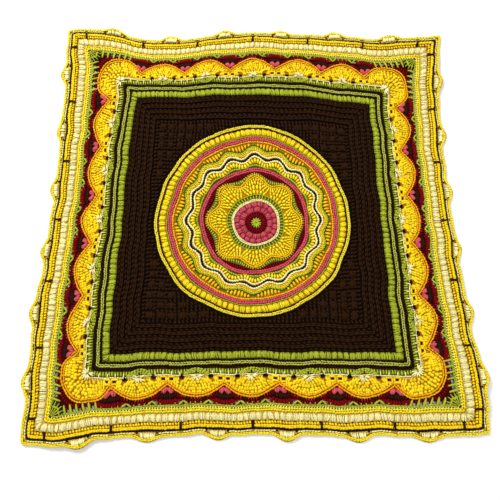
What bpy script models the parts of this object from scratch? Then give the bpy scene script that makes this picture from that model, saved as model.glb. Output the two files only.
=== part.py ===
"""Square crocheted blanket, laid out flat, as one solid.

The cloth is worked in the round: rings of raised rows make a rosette, ribs frame
the field around it, and straight and scalloped rows make the border. Each ring of
the mesh follows one row, and each row has its own height. The open stitches of the
border and of the rosette are cut through. Lengths are in metres, +Z is up, and the
middle of the underside is the origin.
"""

import math
from collections import namedtuple
from itertools import product

import bmesh
import bpy
import numpy as np
from mathutils import Matrix, Vector

MM = 0.001

# The whole cloth, with sizes and places in mm of the even pattern, before it is laid down
LENGTH_OVER_WIDTH = 1.02
SHELL_PITCH = 128.0
LAST_VALLEY = 2.5 * SHELL_PITCH
CORNER_SHELL_RISE = 36.0
EDGE_BUMPS = (78.0, 235.0, 386.0)
EDGE_BUMP_LENGTH = 68.0
EDGE_BUMP_FULLNESS = 1.4
EDGE_BUMP_OUT = {"edging": 7.0, "outer edge": 15.0}
CORNER_PANEL_ROWS = 9
FACES_KEPT = 0.106

# The rounds of the rosette, from the centre out: a lobed round waves in and out
Round = namedtuple("Round", "name radius lobes wave height")
ROUNDS = [
    Round("centre ring", 8.0, 0, 0.0, 6.0),
    Round("crimson round, inner edge", 16.0, 0, 0.0, 4.5),
    Round("crimson round", 21.5, 0, 0.0, 6.0),
    Round("crimson round, outer edge", 27.0, 0, 0.0, 4.5),
    Round("inner bobbles", 34.0, 0, 0.0, 8.0),
    Round("groove between bobbles", 41.0, 0, 0.0, 5.0),
    Round("outer bobbles", 47.5, 0, 0.0, 8.0),
    Round("cream round, inner edge", 54.0, 0, 0.0, 4.8),
    Round("cream round", 58.0, 0, 0.0, 6.0),
    Round("mesh round", 62.0, 0, 0.0, 4.2),
    Round("mesh round, outer edge", 71.0, 0, 0.0, 4.6),
    Round("fans, first row", 82.0, 8, 3.0, 7.0),
    Round("fans, groove", 91.0, 8, 6.0, 5.4),
    Round("fans, second row", 99.0, 8, 8.0, 7.2),
    Round("fan rim, inner side", 104.0, 8, 9.0, 5.8),
    Round("fan rim", 107.5, 8, 9.5, 8.6),
    Round("fan rim, outer side", 111.0, 8, 9.0, 5.2),
    Round("lime scallops", 118.0, 8, 6.0, 6.4),
    Round("crimson fill", 124.0, 8, 2.0, 4.6),
    Round("rose ridge of the inner part", 133.0, 0, 0.0, 7.4),
    Round("groove outside it", 139.0, 0, 0.0, 4.6),
    Round("first ripple", 151.0, 16, 5.5, 7.4),
    Round("first ripple, groove", 161.0, 16, 6.0, 4.6),
    Round("second ripple", 171.0, 16, 6.0, 8.0),
    Round("second ripple, groove", 181.0, 16, 6.0, 4.6),
    Round("third ripple", 191.0, 16, 4.5, 7.4),
    Round("rose ridge, inner side", 202.0, 0, 0.0, 4.8),
    Round("rose ridge", 209.0, 0, 0.0, 8.2),
    Round("rose ridge, outer side", 216.0, 0, 0.0, 4.8),
    Round("yellow puffs", 228.0, 0, 0.0, 8.6),
    Round("dark line", 238.0, 0, 0.0, 4.6),
    Round("rosette's edge ridge", 242.5, 0, 0.0, 7.6),
    Round("field at the rosette", 247.5, 0, 0.0, 4.0),
]

# The rows that run square, from the field out: a scalloped row swells over each shell
Row = namedtuple("Row", "name half_width corner scallop height")
ROWS = [
    Row("field inside the ribs", 262.0, 3.0, 0.0, 4.0),
    Row("first rib", 269.0, 3.0, 0.0, 6.8),
    Row("first rib, groove", 277.0, 3.0, 0.0, 4.2),
    Row("second rib", 285.0, 3.0, 0.0, 6.8),
    Row("second rib, groove", 293.0, 3.0, 0.0, 4.2),
    Row("third rib", 301.0, 3.0, 0.0, 6.8),
    Row("third rib, groove", 309.0, 3.0, 0.0, 4.2),
    Row("fourth rib", 317.0, 3.0, 0.0, 6.8),
    Row("field edge", 327.0, 3.0, 0.0, 4.2),
    Row("lime puffs", 338.0, 3.0, 0.0, 8.6),
    Row("lime puffs, outer side", 349.5, 3.0, 0.0, 4.4),
    Row("lime chain ridge", 356.0, 3.0, 0.0, 7.0),
    Row("brown row", 364.0, 4.0, 0.0, 4.6),
    Row("lime leaves", 374.0, 10.0, 0.0, 6.4),
    Row("shell base", 382.0, 14.0, 0.0, 4.4),
    Row("shell, first row", 387.0, 26.0, 9.0, 7.2),
    Row("shell, groove", 391.0, 38.0, 18.0, 5.6),
    Row("shell, second row", 394.0, 46.0, 25.0, 7.4),
    Row("shell rim, inner side", 396.5, 52.0, 28.5, 5.8),
    Row("shell rim", 400.0, 55.0, 29.5, 9.0),
    Row("shell rim, outer side", 404.0, 50.0, 29.0, 5.0),
    Row("crimson inside the bobbles", 412.0, 42.0, 22.2, 5.0),
    Row("rose bobbles", 420.0, 34.0, 15.8, 5.4),
    Row("crimson fans", 428.0, 26.0, 9.6, 5.6),
    Row("crimson row", 436.0, 18.0, 4.2, 5.6),
    Row("lime row", 447.0, 3.0, 0.0, 4.4),
    Row("lime and yellow join", 453.0, 3.0, 0.0, 5.0),
    Row("yellow row", 458.5, 3.0, 0.0, 6.4),
    Row("cream puffs, inner side", 464.5, 3.0, 0.0, 4.6),
    Row("cream puffs", 474.0, 3.0, 0.0, 8.8),
    Row("cream puffs, outer side", 483.0, 3.0, 0.0, 4.8),
    Row("golden ridge, inner line", 487.0, 3.0, 0.0, 7.8),
    Row("golden ridge, outer line", 495.0, 3.0, 0.0, 7.8),
    Row("dark chain line", 501.0, 3.0, 0.0, 4.4),
    Row("edging", 506.0, 3.0, 0.0, 5.6),
    Row("outer edge", 514.0, 3.0, 0.0, 3.2),
]

# Popcorns, bobble pairs and crimson fans stand out of the rows as low domes
Dome = namedtuple("Dome", "along out reach rise")
DOME_FULLNESS = 0.9
POPCORN_REACH = 10.5
POPCORN_RISE = 4.2
POPCORN_PITCH = 25.0
POPCORNS_DEEP = 6
POPCORN_CORNER = 243.0
POPCORN_CLEAR_RADIUS = 262.0
PAIR_OUT = 419.0
PAIR_HALF_GAP = 8.0
PAIR_REACH = 11.0
PAIR_RISE = 5.0
FAN_OUT = 437.0
FAN_REACH = 33.0
FAN_RISE = 1.8

# Open stitches: along is measured from each repeat's middle, out from the cloth's middle
Gap = namedtuple("Gap", "name along out width height turn")
LADDER_STEPS = 6
LADDER_FIRST = 355.5
LADDER_PITCH = 14.2
LADDER_GAP = Gap("between ladder stitches", 0.0, 446.0, 8.0, 9.5, 20.0)
SHELL_FOOT_GAP = Gap("at a shell's foot", 32.5, 385.5, 10.0, 6.5, 0.0)
MESH_GAP = Gap("in the mesh between shells", 9.0, 390.5, 8.0, 5.5, 0.0)
FAN_GAP = Gap("beside a crimson fan", 29.0, 443.5, 13.0, 6.5, 0.0)
GAP_CUT_HEIGHT = 120.0

# Where the laid cloth is drawn out of square: place, reach and move
Pull = namedtuple("Pull", "name x y reach move_x move_y")
PULLS = [
    Pull("top left corner pushed out", -480.0, 500.0, 110.0, -8.0, 26.0),
    Pull("trough in the top edge", -250.0, 520.0, 90.0, 6.0, -14.0),
    Pull("top edge, middle", 0.0, 500.0, 160.0, 0.0, 16.0),
    Pull("top edge, right", 300.0, 510.0, 150.0, -4.0, 6.0),
    Pull("top right corner pushed out", 535.0, 545.0, 70.0, 18.0, 16.0),
    Pull("field drawn in at the top right", 365.0, 355.0, 120.0, -10.0, -22.0),
    Pull("right edge drawn in", 500.0, 120.0, 200.0, -14.0, -10.0),
    Pull("field drawn in at the top left", -370.0, 370.0, 100.0, 20.0, -2.0),
    Pull("bottom right corner pushed out", 520.0, -460.0, 130.0, 22.0, 6.0),
    Pull("left edge let out", -500.0, -350.0, 220.0, -10.0, -6.0),
    Pull("left edge drawn in", -490.0, 80.0, 140.0, 9.0, -10.0),
    Pull("bottom left corner", -460.0, -520.0, 80.0, 0.0, -14.0),
    Pull("bottom edge drawn in", -50.0, -520.0, 220.0, -1.0, 8.0),
    Pull("rosette's heart off centre", 0.0, 0.0, 130.0, 10.0, -18.0),
]

# Low ripples, where the border stands off the surface
Ripple = namedtuple("Ripple", "name x y reach_x reach_y lift")
RIPPLES = [
    Ripple("top edge, left crest", -420.0, 560.0, 60.0, 55.0, 13.0),
    Ripple("top edge, second crest", -70.0, 560.0, 60.0, 40.0, 6.0),
    Ripple("top edge, right crest", 240.0, 560.0, 60.0, 40.0, 5.0),
    Ripple("right edge, upper crest", 535.0, 400.0, 45.0, 50.0, 9.0),
    Ripple("right edge, lower crest", 540.0, -180.0, 40.0, 55.0, 6.0),
    Ripple("bottom right crest", 560.0, -420.0, 55.0, 50.0, 9.0),
    Ripple("bottom left crest", -400.0, -560.0, 60.0, 40.0, 8.0),
    Ripple("bottom edge, middle crest", 80.0, -560.0, 60.0, 35.0, 4.0),
    Ripple("left edge, lower crest", -545.0, -250.0, 40.0, 60.0, 6.0),
    Ripple("left edge, upper crest", -540.0, 240.0, 35.0, 50.0, 5.0),
]
RIPPLE_FLOOR = 1.2

YELLOW = (0.83, 0.56, 0.03, 1.0)
YARN_ROUGHNESS = 0.88


def shell_swell(along):
    """How far a scalloped row stands out here, from 0 in a valley to 1 over a shell."""
    along = abs(along)
    if along <= LAST_VALLEY:
        from_middle = along / SHELL_PITCH - round(along / SHELL_PITCH)
        return math.cos(math.pi * from_middle)
    return math.sin(min(1.0, (along - LAST_VALLEY) / CORNER_SHELL_RISE) * math.pi / 2)


def edge_swell(along):
    """How far the edging stands out here, from 0 to 1 at the middle of a bump."""
    nearest = min(abs(abs(along) - middle) for middle in EDGE_BUMPS)
    return math.cos(math.pi * min(0.5, nearest / EDGE_BUMP_LENGTH)) ** EDGE_BUMP_FULLNESS


def round_place(ring, share):
    """A point on a round, where share runs from -1 to 1 over the quarter facing +Y.

    A place is a length along the side and a length out from the cloth's middle.
    """
    angle = share * math.pi / 4
    radius = ring.radius + ring.wave * math.cos(ring.lobes * angle)
    return radius * math.sin(angle), radius * math.cos(angle)


def row_place(row, share):
    """The row's point for this share of its side, with its corner rounded."""
    straight = row.half_width + row.scallop - row.corner
    along = share * row.half_width
    if abs(along) < straight:
        swell = row.scallop * shell_swell(along)
        swell += EDGE_BUMP_OUT.get(row.name, 0.0) * edge_swell(along)
        return along, row.half_width + swell
    turn = (abs(along) - straight) / (row.half_width - straight) * math.pi / 4
    beside = straight + row.corner * math.sin(turn)
    return math.copysign(beside, along), straight + row.corner * math.cos(turn)


def panel_place(step, share):
    """A point of the plain ground between the rosette and the first square row."""
    inner = round_place(ROUNDS[-1], share)
    outer = row_place(ROWS[0], share)
    part = step / CORNER_PANEL_ROWS
    return tuple(a + (b - a) * part for a, b in zip(inner, outer))


def turned(place, quarter):
    """Turns a place on the side facing +Y to the side with this number."""
    along, out = place
    for _ in range(quarter % 4):
        along, out = -out, along
    return along, out


def laid(x, y):
    """Moves places of the even pattern to where the laid cloth has them, all in mm."""
    x = np.asarray(x, dtype=float)
    y = np.asarray(y, dtype=float) * LENGTH_OVER_WIDTH
    move_x = np.zeros_like(x)
    move_y = np.zeros_like(y)
    for pull in PULLS:
        near = np.exp(-((x - pull.x) ** 2 + (y - pull.y) ** 2) / (2 * pull.reach**2))
        move_x += pull.move_x * near
        move_y += pull.move_y * near
    return x + move_x, y + move_y


def lift(x, y):
    """How far the underside stands off the surface at a place of the laid cloth, in mm."""
    total = np.zeros_like(x)
    for ripple in RIPPLES:
        far = ((x - ripple.x) / ripple.reach_x) ** 2 + ((y - ripple.y) / ripple.reach_y) ** 2
        total += ripple.lift * np.exp(-far / 2)
    return np.maximum(0.0, total - RIPPLE_FLOOR)


def mesh_rings():
    """Each ring of the mesh, from the centre out, as its place function and height."""
    rings = [(lambda share, ring=ring: round_place(ring, share), ring.height) for ring in ROUNDS]
    ground = ROUNDS[-1].height
    for step in range(1, CORNER_PANEL_ROWS):
        rings.append((lambda share, step=step: panel_place(step, share), ground))
    rings += [(lambda share, row=row: row_place(row, share), row.height) for row in ROWS]
    return rings


def domes():
    """All popcorns, bobble pairs and fans, in the even pattern."""
    found = []
    for quarter in range(4):
        for valley in np.arange(-LAST_VALLEY, LAST_VALLEY + 1.0, SHELL_PITCH):
            for side in (-1, 1):
                bobble = turned((valley + side * PAIR_HALF_GAP, PAIR_OUT), quarter)
                found.append(Dome(*bobble, PAIR_REACH, PAIR_RISE))
            found.append(Dome(*turned((valley, FAN_OUT), quarter), FAN_REACH, FAN_RISE))
        lines = POPCORN_CORNER - POPCORN_PITCH * np.arange(POPCORNS_DEEP)
        for place in product(lines, repeat=2):
            if math.hypot(*place) > POPCORN_CLEAR_RADIUS:
                found.append(Dome(*turned(place, quarter), POPCORN_REACH, POPCORN_RISE))
    return found


def dome_height(x, y):
    """The height that the domes add at places of the even pattern, in mm."""
    total = np.zeros_like(x)
    for dome in domes():
        far = np.hypot(x - dome.along, y - dome.out) / dome.reach
        swell = np.cos(np.minimum(far, 1.0) * math.pi / 2) ** DOME_FULLNESS
        total = np.maximum(total, dome.rise * swell)
    return total


def grid_place(column, line, rings):
    """The even pattern's place and row height for a corner of the grid."""
    ring = max(abs(column), abs(line))
    if ring == 0:
        return (0.0, 0.0), ROUNDS[0].height
    if line == ring:
        quarter, share = 0, column / ring
    elif column == -ring:
        quarter, share = 1, line / ring
    elif line == -ring:
        quarter, share = 2, -column / ring
    else:
        quarter, share = 3, -line / ring
    place, height = rings[ring - 1]
    return turned(place(share), quarter), height


def cloth_mesh():
    """The closed sheet: a grid whose rings follow the rows, over its plain underside."""
    rings = mesh_rings()
    half = len(rings)
    bm = bmesh.new()
    bmesh.ops.create_grid(bm, x_segments=2 * half, y_segments=2 * half, size=half)
    raised = bmesh.ops.extrude_face_region(bm, geom=bm.faces[:], use_keep_orig=True)
    upper = {item for item in raised["geom"] if isinstance(item, bmesh.types.BMVert)}
    corners = [grid_place(round(v.co.x), round(v.co.y), rings) for v in bm.verts]
    even_x, even_y = np.array([place for place, _ in corners]).T
    top = np.array([height for _, height in corners]) + dome_height(even_x, even_y)
    x, y = laid(even_x, even_y)
    under = lift(x, y)
    for vertex, *place, low, thick in zip(bm.verts, x, y, under, top):
        height = low + thick if vertex in upper else low
        vertex.co = Vector((*place, height)) * MM
    bmesh.ops.recalc_face_normals(bm, faces=bm.faces[:])
    mesh = bpy.data.meshes.new("blanket")
    bm.to_mesh(mesh)
    bm.free()
    return mesh


def all_gaps():
    """Each open stitch, as its kind, its place on a side, the side and the end it is on."""
    shells = np.arange(-2 * SHELL_PITCH, 2 * SHELL_PITCH + 1.0, SHELL_PITCH)
    valleys = np.arange(-LAST_VALLEY, LAST_VALLEY + 1.0, SHELL_PITCH)
    ladder = LADDER_FIRST + LADDER_PITCH * np.arange(LADDER_STEPS)
    for quarter in range(4):
        for end in (-1, 1):
            found = [(LADDER_GAP, end * along) for along in ladder]
            found += [(SHELL_FOOT_GAP, shell + end * SHELL_FOOT_GAP.along) for shell in shells]
            found += [(MESH_GAP, valley + end * MESH_GAP.along) for valley in valleys]
            found += [(FAN_GAP, valley + end * FAN_GAP.along) for valley in valleys
                      if abs(valley + end * FAN_GAP.along) < LAST_VALLEY]
            for gap, along in found:
                yield gap, along, quarter, end


def gap_mesh():
    """One block for each open stitch, tall enough to pass right through the cloth."""
    bm = bmesh.new()
    for gap, along, quarter, end in all_gaps():
        x, y = laid(*turned((along, gap.out), quarter))
        shape = Matrix.Diagonal((gap.width * MM, gap.height * MM, GAP_CUT_HEIGHT * MM, 1.0))
        spin = Matrix.Rotation(math.radians(90.0 * quarter - end * gap.turn), 4, "Z")
        move = Matrix.Translation((x * MM, y * MM, 0.0))
        bmesh.ops.create_cube(bm, size=1.0, matrix=move @ spin @ shape)
    mesh = bpy.data.meshes.new("open stitches")
    bm.to_mesh(mesh)
    bm.free()
    return mesh


def yarn_material():
    """Matt cotton yarn in the blanket's main yellow."""
    material = bpy.data.materials.new("yellow yarn")
    material.use_nodes = True
    shader = material.node_tree.nodes["Principled BSDF"]
    shader.inputs["Base Color"].default_value = YELLOW
    shader.inputs["Roughness"].default_value = YARN_ROUGHNESS
    shader.inputs["Metallic"].default_value = 0.0
    return material


def collection(name):
    """A new collection of the scene."""
    made = bpy.data.collections.new(name)
    bpy.context.scene.collection.children.link(made)
    return made


for old in list(bpy.data.objects):
    bpy.data.objects.remove(old, do_unlink=True)

gaps = bpy.data.objects.new("open_stitches", gap_mesh())
gaps.hide_render = True
gaps.display_type = "WIRE"
collection("cutters").objects.link(gaps)

blanket = bpy.data.objects.new("blanket", cloth_mesh())
blanket.data.materials.append(yarn_material())
collection("crocheted blanket").objects.link(blanket)

cut = blanket.modifiers.new("open stitches cut through", "BOOLEAN")
cut.operation = "DIFFERENCE"
cut.solver = "EXACT"
cut.object = gaps

thin_out = blanket.modifiers.new("fewer faces where the rows run straight", "DECIMATE")
thin_out.decimate_type = "COLLAPSE"
thin_out.ratio = FACES_KEPT
thin_out.use_collapse_triangulate = True

bpy.context.view_layer.update()
shown = blanket.evaluated_get(bpy.context.evaluated_depsgraph_get())
corners = np.array([tuple(corner) for corner in shown.bound_box])
middle = (corners.min(axis=0) + corners.max(axis=0)) / 2
for placed in (blanket, gaps):
    placed.location = (-middle[0], -middle[1], 0.0)
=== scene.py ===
import math
from collections import namedtuple

import bmesh
import bpy
import numpy as np
from mathutils import Matrix


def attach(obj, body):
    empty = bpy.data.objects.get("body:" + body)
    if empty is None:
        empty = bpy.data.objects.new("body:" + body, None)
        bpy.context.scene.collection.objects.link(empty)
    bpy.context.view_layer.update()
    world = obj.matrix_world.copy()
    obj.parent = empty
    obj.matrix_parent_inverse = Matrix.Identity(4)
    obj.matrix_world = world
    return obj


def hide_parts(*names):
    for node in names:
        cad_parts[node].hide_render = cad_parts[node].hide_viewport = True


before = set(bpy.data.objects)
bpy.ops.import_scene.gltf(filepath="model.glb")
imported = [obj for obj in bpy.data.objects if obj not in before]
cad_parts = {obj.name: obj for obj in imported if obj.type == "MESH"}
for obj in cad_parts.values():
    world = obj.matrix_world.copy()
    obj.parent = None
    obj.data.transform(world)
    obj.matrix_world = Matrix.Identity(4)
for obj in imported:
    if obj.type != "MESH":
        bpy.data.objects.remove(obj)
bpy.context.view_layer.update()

# The ground cloth: one sheet of close crochet, worked in rounds from the middle and then
# in rows around the square. It is laid a little out of square, with low ripples along its
# edges, and its open stitches are real holes. All sizes below are in mm.

MM = 0.001
LENGTH_OVER_WIDTH = 1.02
QUARTERS = range(4)
SHELL_PITCH = 128.0
LAST_VALLEY = 2.5 * SHELL_PITCH
CORNER_SHELL_RISE = 36.0
EDGE_BUMPS = (78.0, 235.0, 386.0)
EDGE_BUMP_LENGTH = 68.0
EDGE_BUMP_FULLNESS = 1.4
OUTER_EDGE = 514.0
BUMP_FROM = (501.0, 506.0, OUTER_EDGE)
BUMP_OUT = (0.0, 7.0, 15.0)
SHEET_SINK = 2.2
PANEL_STEPS = 5

Ring = namedtuple("Ring", "out corner scallop height yarn")

# The yarn named on a ring is the colour of the strip outside it
ROUNDS = [Ring(out, 0, 0, height, colour) for out, height, colour in [
    (8, 5.6, "lime"), (13, 5, "crimson"), (28, 5.4, "rose"), (41, 5.4, "rose"),
    (54.5, 5, "cream"), (61, 4.6, "lime"), (73, 5.2, "yellow"), (88, 5.6, "yellow"),
    (103.5, 6.2, "golden"), (111.5, 5.6, "lime"), (120, 5, "crimson"), (128.5, 5.6, "rose"),
    (139, 5, "lime"), (147, 5.6, "yellow"), (158, 5.4, "cream"), (163, 5.4, "brown"),
    (168, 5.8, "cream"), (173, 5.8, "golden"), (183, 5.4, "lime"), (193, 5.4, "golden"),
    (203, 5.4, "rose"), (216, 5.4, "lime"), (219.5, 6, "yellow"), (236.5, 5, "brown"),
    (240.5, 5.6, "yellow"), (247.5, 4.4, "brown"),
]]
ROWS = [Ring(*row) for row in [
    (262, 3, 0, 4.4, "brown"), (277, 3, 0, 4.6, "brown"), (293, 3, 0, 4.6, "brown"),
    (309, 3, 0, 4.6, "brown"), (327, 3, 0, 4.6, "brown"), (330.5, 3, 0, 5.6, "lime"),
    (338, 3, 0, 6.6, "lime"), (347.5, 3, 0, 4.8, "brown"), (351.5, 3, 0, 5, "brown"),
    (359.5, 4, 0, 4.8, "brown"), (368.4, 6.6, 0, 5, "lime"), (376, 11, 0, 5.4, "lime"),
    (381, 14, 0, 5, "cream"), (384, 18, 4, 5.6, "yellow"), (387, 26, 9, 6.2, "yellow"),
    (391, 38, 18, 5.6, "yellow"), (394, 46, 25, 6.2, "yellow"),
    (397, 52.5, 28.7, 6.8, "golden"), (400, 55, 29.5, 7.4, "crimson"),
    (403, 50.5, 29, 5.2, "crimson"), (412, 42, 22.2, 5.2, "crimson"),
    (420, 34, 15.8, 5.4, "crimson"), (428, 26, 9.6, 5.4, "crimson"),
    (436, 18, 4.2, 5.2, "crimson"), (445, 4, 0, 4.6, "lime"), (453, 3, 0, 5, "yellow"),
    (464.5, 3, 0, 5.2, "cream"), (474, 3, 0, 6.8, "cream"), (483.5, 3, 0, 5.6, "golden"),
    (498.5, 3, 0, 4.6, "brown"), (502, 3, 0, 4.6, "cream"), (505.6, 3, 0, 4.4, "yellow"),
    (512.5, 3, 0, 4, "yellow"),
]]
FAN_WAVE_AT = (71, 82, 91, 99, 107.5, 118, 124, 133)
FAN_WAVE = (0, 3, 6, 8, 9.5, 6, 2, 0)
FANS = 8
RIPPLE_WAVE_AT = (139, 151, 161, 181, 191, 202)
RIPPLE_WAVE = (0, 5.5, 6, 6, 4.5, 0)
RIPPLES_ROUND = 16

Pull = namedtuple("Pull", "x y reach move_x move_y")
PULLS = [Pull(*pull) for pull in [
    (-480, 500, 110, -8, 26), (-250, 520, 90, 6, -14),
    (0, 500, 160, 0, 16), (300, 510, 150, -4, 6),
    (535, 545, 70, 18, 16), (365, 355, 120, -10, -22),
    (500, 120, 200, -14, -10), (-370, 370, 100, 20, -2),
    (520, -460, 130, 22, 6), (-500, -350, 220, -10, -6),
    (-490, 80, 140, 9, -10), (-460, -520, 80, 0, -14),
    (-50, -520, 220, -1, 8), (0, 0, 130, 10, -18),
]]
Ripple = namedtuple("Ripple", "x y reach_x reach_y lift")
RIPPLES = [Ripple(*ripple) for ripple in [
    (-420, 560, 60, 55, 13), (-70, 560, 60, 40, 6),
    (240, 560, 60, 40, 5), (535, 400, 45, 50, 9),
    (540, -180, 40, 55, 6), (560, -420, 55, 50, 9),
    (-400, -560, 60, 40, 8), (80, -560, 60, 35, 4),
    (-545, -250, 40, 60, 6), (-540, 240, 35, 50, 5),
]]
RIPPLE_FLOOR = 1.2
Sway = namedtuple("Sway", "length angle phase size")
SWAYS = [Sway(*sway) for sway in [
    (131, 0, 0.6, 1.2), (97, 90, 1.9, 1.1), (173, 35, 3.1, 1.3),
    (145, 120, 4.4, 1.2), (58, 10, 5.2, 0.5), (64, 80, 2.3, 0.5),
]]


def shell_swell(along):
    """How far a scalloped row stands out here, from 0 in a valley to 1 over a shell."""
    over_shell = np.cos(math.pi * (along / SHELL_PITCH - np.round(along / SHELL_PITCH)))
    rise = np.clip((along - LAST_VALLEY) / CORNER_SHELL_RISE, 0.0, 1.0)
    return np.where(along <= LAST_VALLEY, over_shell, np.sin(rise * math.pi / 2))


def edge_swell(along):
    """How far the edging stands out here, from 0 to 1 at the middle of a bump."""
    nearest = np.min([np.abs(along - middle) for middle in EDGE_BUMPS], axis=0)
    return np.cos(math.pi * np.minimum(0.5, nearest / EDGE_BUMP_LENGTH)) ** EDGE_BUMP_FULLNESS


def plain_place(quarter, along, out):
    """A place of the even pattern, measured straight along a side and out from the middle."""
    cosine, sine = ((1, 0), (0, 1), (-1, 0), (0, -1))[quarter]
    return along * cosine - out * sine, along * sine + out * cosine


def square_place(quarter, along, out):
    """The even pattern's place for a length along a side and a row's distance out."""
    along, out = np.broadcast_arrays(np.asarray(along, float), np.asarray(out, float))
    outs = [row.out for row in ROWS]
    corner = np.interp(out, outs, [row.corner for row in ROWS])
    scallop = np.interp(out, outs, [row.scallop for row in ROWS])
    straight = out + scallop - corner
    far = np.abs(along)
    swell = scallop * shell_swell(far) + np.interp(out, BUMP_FROM, BUMP_OUT) * edge_swell(far)
    turn = np.clip((far - straight) / (out - straight), 0.0, 1.0) * math.pi / 4
    before_corner = far < straight
    beside = np.copysign(np.where(before_corner, far, straight + corner * np.sin(turn)), along)
    beyond = np.where(before_corner, out + swell, straight + corner * np.cos(turn))
    return plain_place(quarter, beside, beyond)


def round_place(eighth, angle, radius):
    """The even pattern's place on a round of the rosette, which waves in and out."""
    angle, radius = np.broadcast_arrays(np.asarray(angle, float), np.asarray(radius, float))
    angle = angle + eighth * math.pi / 4
    fan = np.interp(radius, FAN_WAVE_AT, FAN_WAVE) * np.cos(FANS * angle)
    ripple = np.interp(radius, RIPPLE_WAVE_AT, RIPPLE_WAVE) * np.cos(RIPPLES_ROUND * angle)
    return -(radius + fan + ripple) * np.sin(angle), (radius + fan + ripple) * np.cos(angle)


def laid(x, y):
    """Moves places of the even pattern to where the laid cloth has them."""
    y = y * LENGTH_OVER_WIDTH
    near = [np.exp(-((x - p.x) ** 2 + (y - p.y) ** 2) / (2 * p.reach**2)) for p in PULLS]
    return (x + sum(pull.move_x * share for pull, share in zip(PULLS, near)),
            y + sum(pull.move_y * share for pull, share in zip(PULLS, near)))


def lift(x, y):
    """How far the underside stands off the floor at a place of the laid cloth."""
    total = np.zeros_like(x)
    for ripple in RIPPLES:
        far = ((x - ripple.x) / ripple.reach_x) ** 2 + ((y - ripple.y) / ripple.reach_y) ** 2
        total += ripple.lift * np.exp(-far / 2)
    return np.maximum(0.0, total - RIPPLE_FLOOR)


def swayed(x, y):
    """Lets the rows sway a little to either side, as hand work does."""
    move_x, move_y = 0.0, 0.0
    for sway in SWAYS:
        cosine, sine = math.cos(math.radians(sway.angle)), math.sin(math.radians(sway.angle))
        size = sway.size * np.sin((x * cosine + y * sine) * 2 * math.pi / sway.length + sway.phase)
        move_x = move_x - sine * size
        move_y = move_y + cosine * size
    return x + move_x, y + move_y


side_run = np.linspace(-OUTER_EDGE, OUTER_EDGE, 400)
edge_x, edge_y = laid(*np.hstack([square_place(side, side_run, OUTER_EDGE) for side in QUARTERS]))
MIDDLE_X = (edge_x.min() + edge_x.max()) / 2
MIDDLE_Y = (edge_y.min() + edge_y.max()) / 2


def set_down(x, y, height):
    """Puts places of the even pattern on the laid cloth, in metres of the frame."""
    x, y = swayed(*laid(x, y))
    return np.stack([x - MIDDLE_X, y - MIDDLE_Y, lift(x, y) + height], axis=-1) * MM


class Tone:
    """A value or colour in a material's nodes: sums written on it add their own nodes."""

    def __init__(self, tree, socket=None):
        self.tree = tree
        self.socket = socket

    def node(self, kind, settings, inputs, outputs=(0,)):
        """Adds any node: its settings first, then the values or links of its sockets."""
        made = self.tree.nodes.new("ShaderNode" + kind)
        for name, value in settings.items():
            setattr(made, name, value)
        for name, value in inputs.items():
            if isinstance(value, Tone):
                self.tree.links.new(value.socket, made.inputs[name])
            else:
                made.inputs[name].default_value = value
        found = [Tone(self.tree, made.outputs[name]) for name in outputs]
        return found[0] if len(found) == 1 else found

    def math(self, operation, *values):
        return self.node("Math", {"operation": operation}, dict(enumerate(values)))

    def __add__(self, other):
        return self.math("ADD", self, other)

    def __sub__(self, other):
        return self.math("SUBTRACT", self, other)

    def __rsub__(self, other):
        return self.math("SUBTRACT", other, self)

    def __mul__(self, other):
        return self.math("MULTIPLY", self, other)

    __radd__ = __add__
    __rmul__ = __mul__

    def wave(self):
        """A sine of this many turns."""
        return self.math("SINE", self * (2 * math.pi))

    def between(self, low, high):
        """The colour at this share of the way from one colour to another."""
        share = self.node("Clamp", {}, {"Value": self})
        return share.node("Mix", {"data_type": "RGBA"}, {0: share, 6: (*low, 1.0), 7: (*high, 1.0)}, (2,))


SPECULAR_LEVEL = 0.06


def new_material(name, roughness, sheen):
    """A material with its shader, and the wrapper that its nodes start from."""
    material = bpy.data.materials.new(name)
    material.use_nodes = True
    shader = material.node_tree.nodes["Principled BSDF"]
    shader.inputs["Roughness"].default_value = roughness
    shader.inputs["Sheen Weight"].default_value = sheen
    shader.inputs["Specular IOR Level"].default_value = SPECULAR_LEVEL
    return material, shader, Tone(material.node_tree)


def feed(shader, name, tone):
    """Links a tone to a socket of the shader."""
    tone.tree.links.new(tone.socket, shader.inputs[name])


# Each yarn's own colour, shown on the crest of a strand, and the darker painted shade colour used where
# two strands meet
YARNS = {
    "brown": ((0.030, 0.0104, 0.0023), (0.002, 0.0008, 0.0002)),
    "lime": ((0.47, 0.53, 0.03), (0.06, 0.065, 0.003)),
    "crimson": ((0.20, 0.0015, 0.005), (0.03, 0.0006, 0.001)),
    "rose": ((0.70, 0.095, 0.13), (0.20, 0.012, 0.02)),
    "cream": ((1.0, 0.95, 0.45), (0.52, 0.33, 0.022)),
    "yellow": ((0.98, 0.83, 0.016), (0.42, 0.13, 0.001)),
    "golden": ((0.96, 0.60, 0.008), (0.36, 0.09, 0.001)),
}
GROUND_STITCH = 6.2
GROUND_ROW = 8.0


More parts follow.
